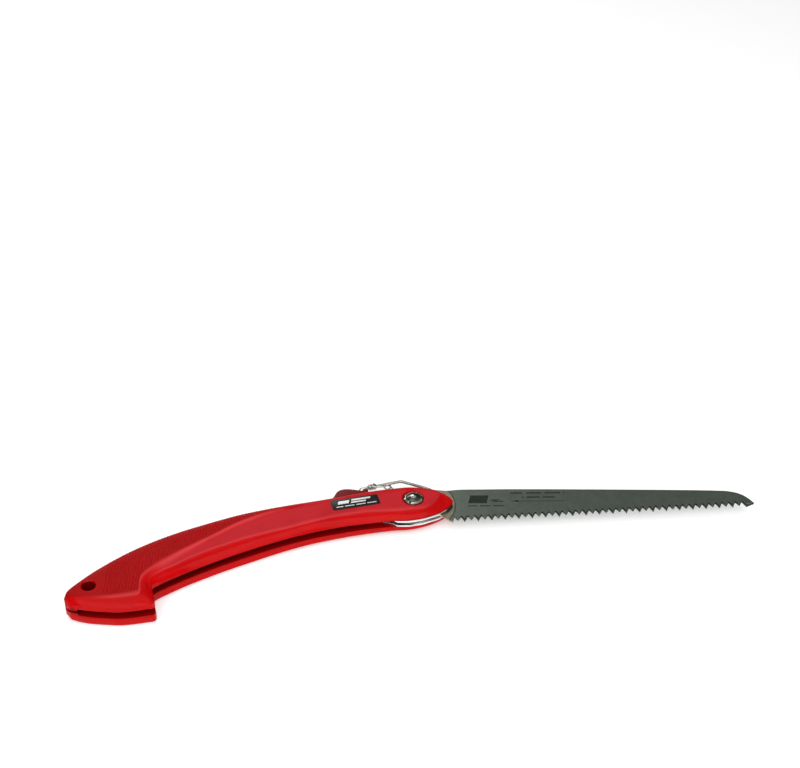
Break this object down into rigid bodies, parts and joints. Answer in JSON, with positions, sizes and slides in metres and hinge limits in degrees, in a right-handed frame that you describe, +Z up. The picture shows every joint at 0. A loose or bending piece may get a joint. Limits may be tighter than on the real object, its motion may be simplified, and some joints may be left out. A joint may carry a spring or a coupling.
{
  "type": "folding pruning saw",
  "caption": "Folding pruning saw with a toothed blade that swings into a two-shell handle and a sprung wire lock worked by a thumb lever.",
  "frame": {"origin": "middle of the bounding box's bottom, on the surface that the saw lies on", "axes": "+X from the pivot along the open blade to its tip, +Y towards the handle's back, +Z up along the pivot bolt, from the left side to the right side"},
  "size_m": [0.3946, 0.1162, 0.017],
  "materials": {
    "red_shell": "glossy moulded red",
    "liner_steel": "brushed",
    "pin_steel": "turned",
    "screw_steel": "blackened",
    "brass": "turned",
    "black_label": "printed film",
    "bolt_chrome": "polished",
    "spring_steel": "oiled",
    "blade_steel": "ground and hard plated",
    "maroon_pad": "satin dark red",
    "wire_steel": "drawn wire"
  },
  "bodies": {
    "handle": {"right_shell": "red_shell", "left_shell": "red_shell", "right_liner": "liner_steel", "left_liner": "liner_steel", "liner_pins": "pin_steel", "shell_screws": "screw_steel", "screw_inserts": "brass", "name_plate": "black_label", "pivot_bolt": "bolt_chrome", "pivot_bush": "brass", "pivot_nut": "bolt_chrome", "spring_washer": "spring_steel", "right_blade_washer": "brass", "left_blade_washer": "brass", "lever_pin": "pin_steel", "lever_spacers": "brass", "lock_spring": "wire_steel"},
    "blade": {"blade": "blade_steel"},
    "lock": {"lever_plate": "liner_steel", "thumb_pad": "maroon_pad", "pad_rivets": "pin_steel", "ferrule": "liner_steel", "locking_wire": "wire_steel"}
  },
  "joints": [
    {"name": "blade_fold", "type": "hinge", "parent": "handle", "child": "blade", "pos_m": [-0.00567, 0.03383, 0.0085], "axis": [0, 0, 1], "range_deg": [-154.2, 0], "deforming": ["locking_wire"]},
    {"name": "lock_press", "type": "hinge", "parent": "handle", "child": "lock", "pos_m": [-0.04342, 0.035, 0.0085], "axis": [0, 0, 1], "range_deg": [0, 24], "stiffness_Nm_per_rad": 0.25, "springref_deg": -11.46, "deforming": ["lock_spring"]}
  ]
}
